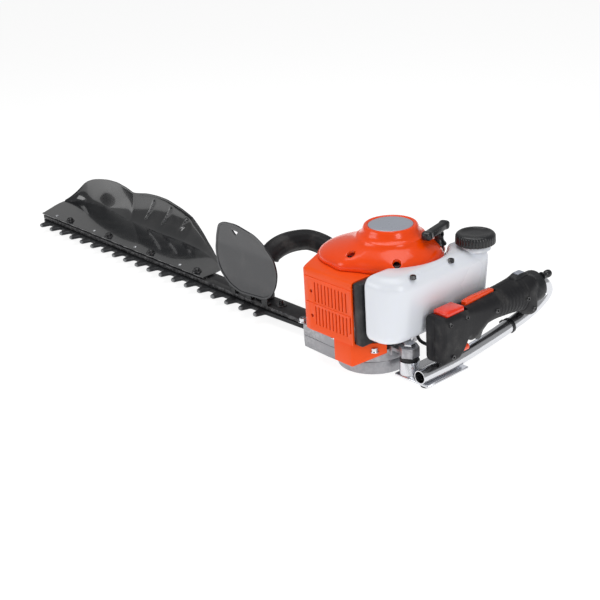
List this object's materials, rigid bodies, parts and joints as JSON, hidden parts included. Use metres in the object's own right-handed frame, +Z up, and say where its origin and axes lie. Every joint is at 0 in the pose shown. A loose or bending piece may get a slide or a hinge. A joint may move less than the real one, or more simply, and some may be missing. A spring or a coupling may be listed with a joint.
{
  "type": "hedge trimmer",
  "caption": "Petrol hedge trimmer: single-sided reciprocating cutter bar with leaf deflector, top-mounted engine, front loop handle and transverse rear throttle grip.",
  "frame": {"origin": "on the flat bottom of the gear case, on the cutter bar's centre line, 39 mm behind the drive gear's axis", "axes": "-X towards the cutter bar's tip, -Y towards the teeth, +Z up"},
  "size_m": [0.982, 0.2813, 0.176],
  "materials": {
    "upper_blade": "ground and hardened",
    "lower_blade": "ground and hardened",
    "guide_bar": "black coated",
    "blade_bolt_1": "black oxide",
    "blade_bolt_2": "black oxide",
    "blade_bolt_3": "black oxide",
    "blade_bolt_4": "black oxide",
    "deflector": "gloss dark grey paint",
    "drive_gear": "machined",
    "upper_blade_rod": "machined",
    "lower_blade_rod": "machined",
    "clutch_drum": "machined",
    "clutch_shoes": "machined",
    "crankshaft_lower": "machined",
    "crankshaft_upper": "machined",
    "connecting_rod": "machined",
    "gearcase_lower": "as cast",
    "gearcase_upper": "as cast",
    "crankcase": "as cast",
    "cylinder": "as cast",
    "flywheel": "as cast",
    "carburettor": "as cast",
    "tube_plate": "machined",
    "piston": "machined",
    "spark_plug": "plain",
    "muffler": "plain",
    "recoil_spring": "plain",
    "plug_cap": "moulded",
    "air_filter": "moulded",
    "ignition_coil": "moulded",
    "heat_shield": "moulded",
    "fan_housing": "moulded",
    "rope_guide": "moulded",
    "starter_pulley": "moulded",
    "starter_grip": "moulded",
    "engine_cover": "gloss orange",
    "lower_skirt": "gloss orange",
    "starter_housing": "gloss orange",
    "lockout_lever": "gloss orange",
    "lock_button": "gloss orange",
    "stop_switch": "gloss red",
    "label_disc": "silver sheet",
    "starter_rope": "braided",
    "fuel_tank": "translucent white",
    "fuel_cap": "fine grain",
    "grip_back_half": "fine grain",
    "grip_front_half": "fine grain",
    "grip_collar": "fine grain",
    "throttle_trigger": "fine grain",
    "front_handle": "black powder coat",
    "shield_bracket": "black powder coat",
    "front_grip": "matt",
    "isolator_rubber": "matt",
    "foot_1": "matt",
    "foot_2": "matt",
    "foot_3": "matt",
    "throttle_cable": "matt",
    "hand_shield": "smooth dark grey",
    "rear_tube": "bright drawn tube",
    "isolator_bolt": "black oxide"
  },
  "bodies": {
    "body": {"guide_bar": "guide_bar", "blade_bolt_1": "blade_bolt_1", "blade_bolt_2": "blade_bolt_2", "blade_bolt_3": "blade_bolt_3", "blade_bolt_4": "blade_bolt_4", "deflector": "deflector", "gearcase_lower": "gearcase_lower", "gearcase_upper": "gearcase_upper", "crankcase": "crankcase", "cylinder": "cylinder", "carburettor": "carburettor", "tube_plate": "tube_plate", "spark_plug": "spark_plug", "muffler": "muffler", "recoil_spring": "recoil_spring", "plug_cap": "plug_cap", "air_filter": "air_filter", "ignition_coil": "ignition_coil", "heat_shield": "heat_shield", "fan_housing": "fan_housing", "rope_guide": "rope_guide", "engine_cover": "engine_cover", "lower_skirt": "lower_skirt", "starter_housing": "starter_housing", "label_disc": "label_disc", "fuel_tank": "fuel_tank", "grip_back_half": "grip_back_half", "grip_front_half": "grip_front_half", "grip_collar": "grip_collar", "front_handle": "front_handle", "shield_bracket": "shield_bracket", "front_grip": "front_grip", "isolator_rubber": "isolator_rubber", "foot_1": "foot_1", "foot_2": "foot_2", "foot_3": "foot_3", "throttle_cable": "throttle_cable", "hand_shield": "hand_shield", "rear_tube": "rear_tube", "isolator_bolt": "isolator_bolt"},
    "upper_cutter": {"upper_blade": "upper_blade", "upper_blade_rod": "upper_blade_rod"},
    "lower_cutter": {"lower_blade": "lower_blade", "lower_blade_rod": "lower_blade_rod"},
    "gear": {"drive_gear": "drive_gear"},
    "drum": {"clutch_drum": "clutch_drum"},
    "crank": {"crankshaft_lower": "crankshaft_lower", "crankshaft_upper": "crankshaft_upper", "clutch_shoes": "clutch_shoes", "flywheel": "flywheel"},
    "piston_group": {"piston": "piston", "connecting_rod": "connecting_rod"},
    "pulley": {"starter_pulley": "starter_pulley"},
    "pull_grip": {"starter_grip": "starter_grip", "starter_rope": "starter_rope"},
    "cap": {"fuel_cap": "fuel_cap"},
    "trigger": {"throttle_trigger": "throttle_trigger"},
    "lever": {"lockout_lever": "lockout_lever"},
    "switch": {"stop_switch": "stop_switch"},
    "button": {"lock_button": "lock_button"}
  },
  "joints": [
    {"name": "upper_blade_slide", "type": "slide", "parent": "body", "child": "upper_cutter", "axis": [1, 0, 0], "range_m": [-0.008, 0.008]},
    {"name": "lower_blade_slide", "type": "slide", "parent": "body", "child": "lower_cutter", "axis": [1, 0, 0], "range_m": [-0.008, 0.008]},
    {"name": "drive_gear_spin", "type": "hinge", "parent": "body", "child": "gear", "pos_m": [-0.039, 0, 0.022], "axis": [0, 0, 1], "continuous": true},
    {"name": "clutch_drum_spin", "type": "hinge", "parent": "body", "child": "drum", "pos_m": [-0.039, 0.0378, 0.03], "axis": [0, 0, 1], "continuous": true},
    {"name": "crank_spin", "type": "hinge", "parent": "body", "child": "crank", "pos_m": [-0.039, 0.0378, 0.09], "axis": [0, 0, 1], "continuous": true},
    {"name": "piston_slide", "type": "slide", "parent": "body", "child": "piston_group", "axis": [0, 1, 0], "range_m": [0, 0.026]},
    {"name": "pull_grip_slide", "type": "slide", "parent": "body", "child": "pull_grip", "axis": [0, 0, 1], "range_m": [0, 0.07], "stiffness_N_per_m": 40, "springref_m": -0.02},
    {"name": "starter_pulley_turn", "type": "hinge", "parent": "body", "child": "pulley", "pos_m": [-0.039, 0.0378, 0.155], "axis": [0, 0, 1], "range_deg": [-1, 292]},
    {"name": "fuel_cap_turn", "type": "hinge", "parent": "body", "child": "cap", "pos_m": [0.043, 0.106, 0.156], "axis": [0, 0, 1], "continuous": true},
    {"name": "throttle_trigger_turn", "type": "hinge", "parent": "body", "child": "trigger", "pos_m": [0.075, 0.088, 0.063], "axis": [1, 0, 0], "range_deg": [-10, 0], "stiffness_Nm_per_rad": 0.5, "springref_deg": 17.19},
    {"name": "lockout_lever_turn", "type": "hinge", "parent": "body", "child": "lever", "pos_m": [0.075, 0.048, 0.088], "axis": [1, 0, 0], "range_deg": [-5, 0], "stiffness_Nm_per_rad": 0.5, "springref_deg": 17.19},
    {"name": "stop_switch_slide", "type": "slide", "parent": "body", "child": "switch", "axis": [0, 1, 0], "range_m": [0, 0.004]},
    {"name": "lock_button_slide", "type": "slide", "parent": "body", "child": "button", "axis": [0, -1, 0], "range_m": [0, 0.003], "stiffness_N_per_m": 200, "springref_m": -0.002}
  ],
  "couplings": [
    {"joint": "lower_blade_slide", "follows": "upper_blade_slide", "ratio": -1},
    {"joint": "clutch_drum_spin", "follows": "drive_gear_spin", "ratio": -4},
    {"joint": "starter_pulley_turn", "follows": "pull_grip_slide", "rad_per_m": 71.7}
  ]
}
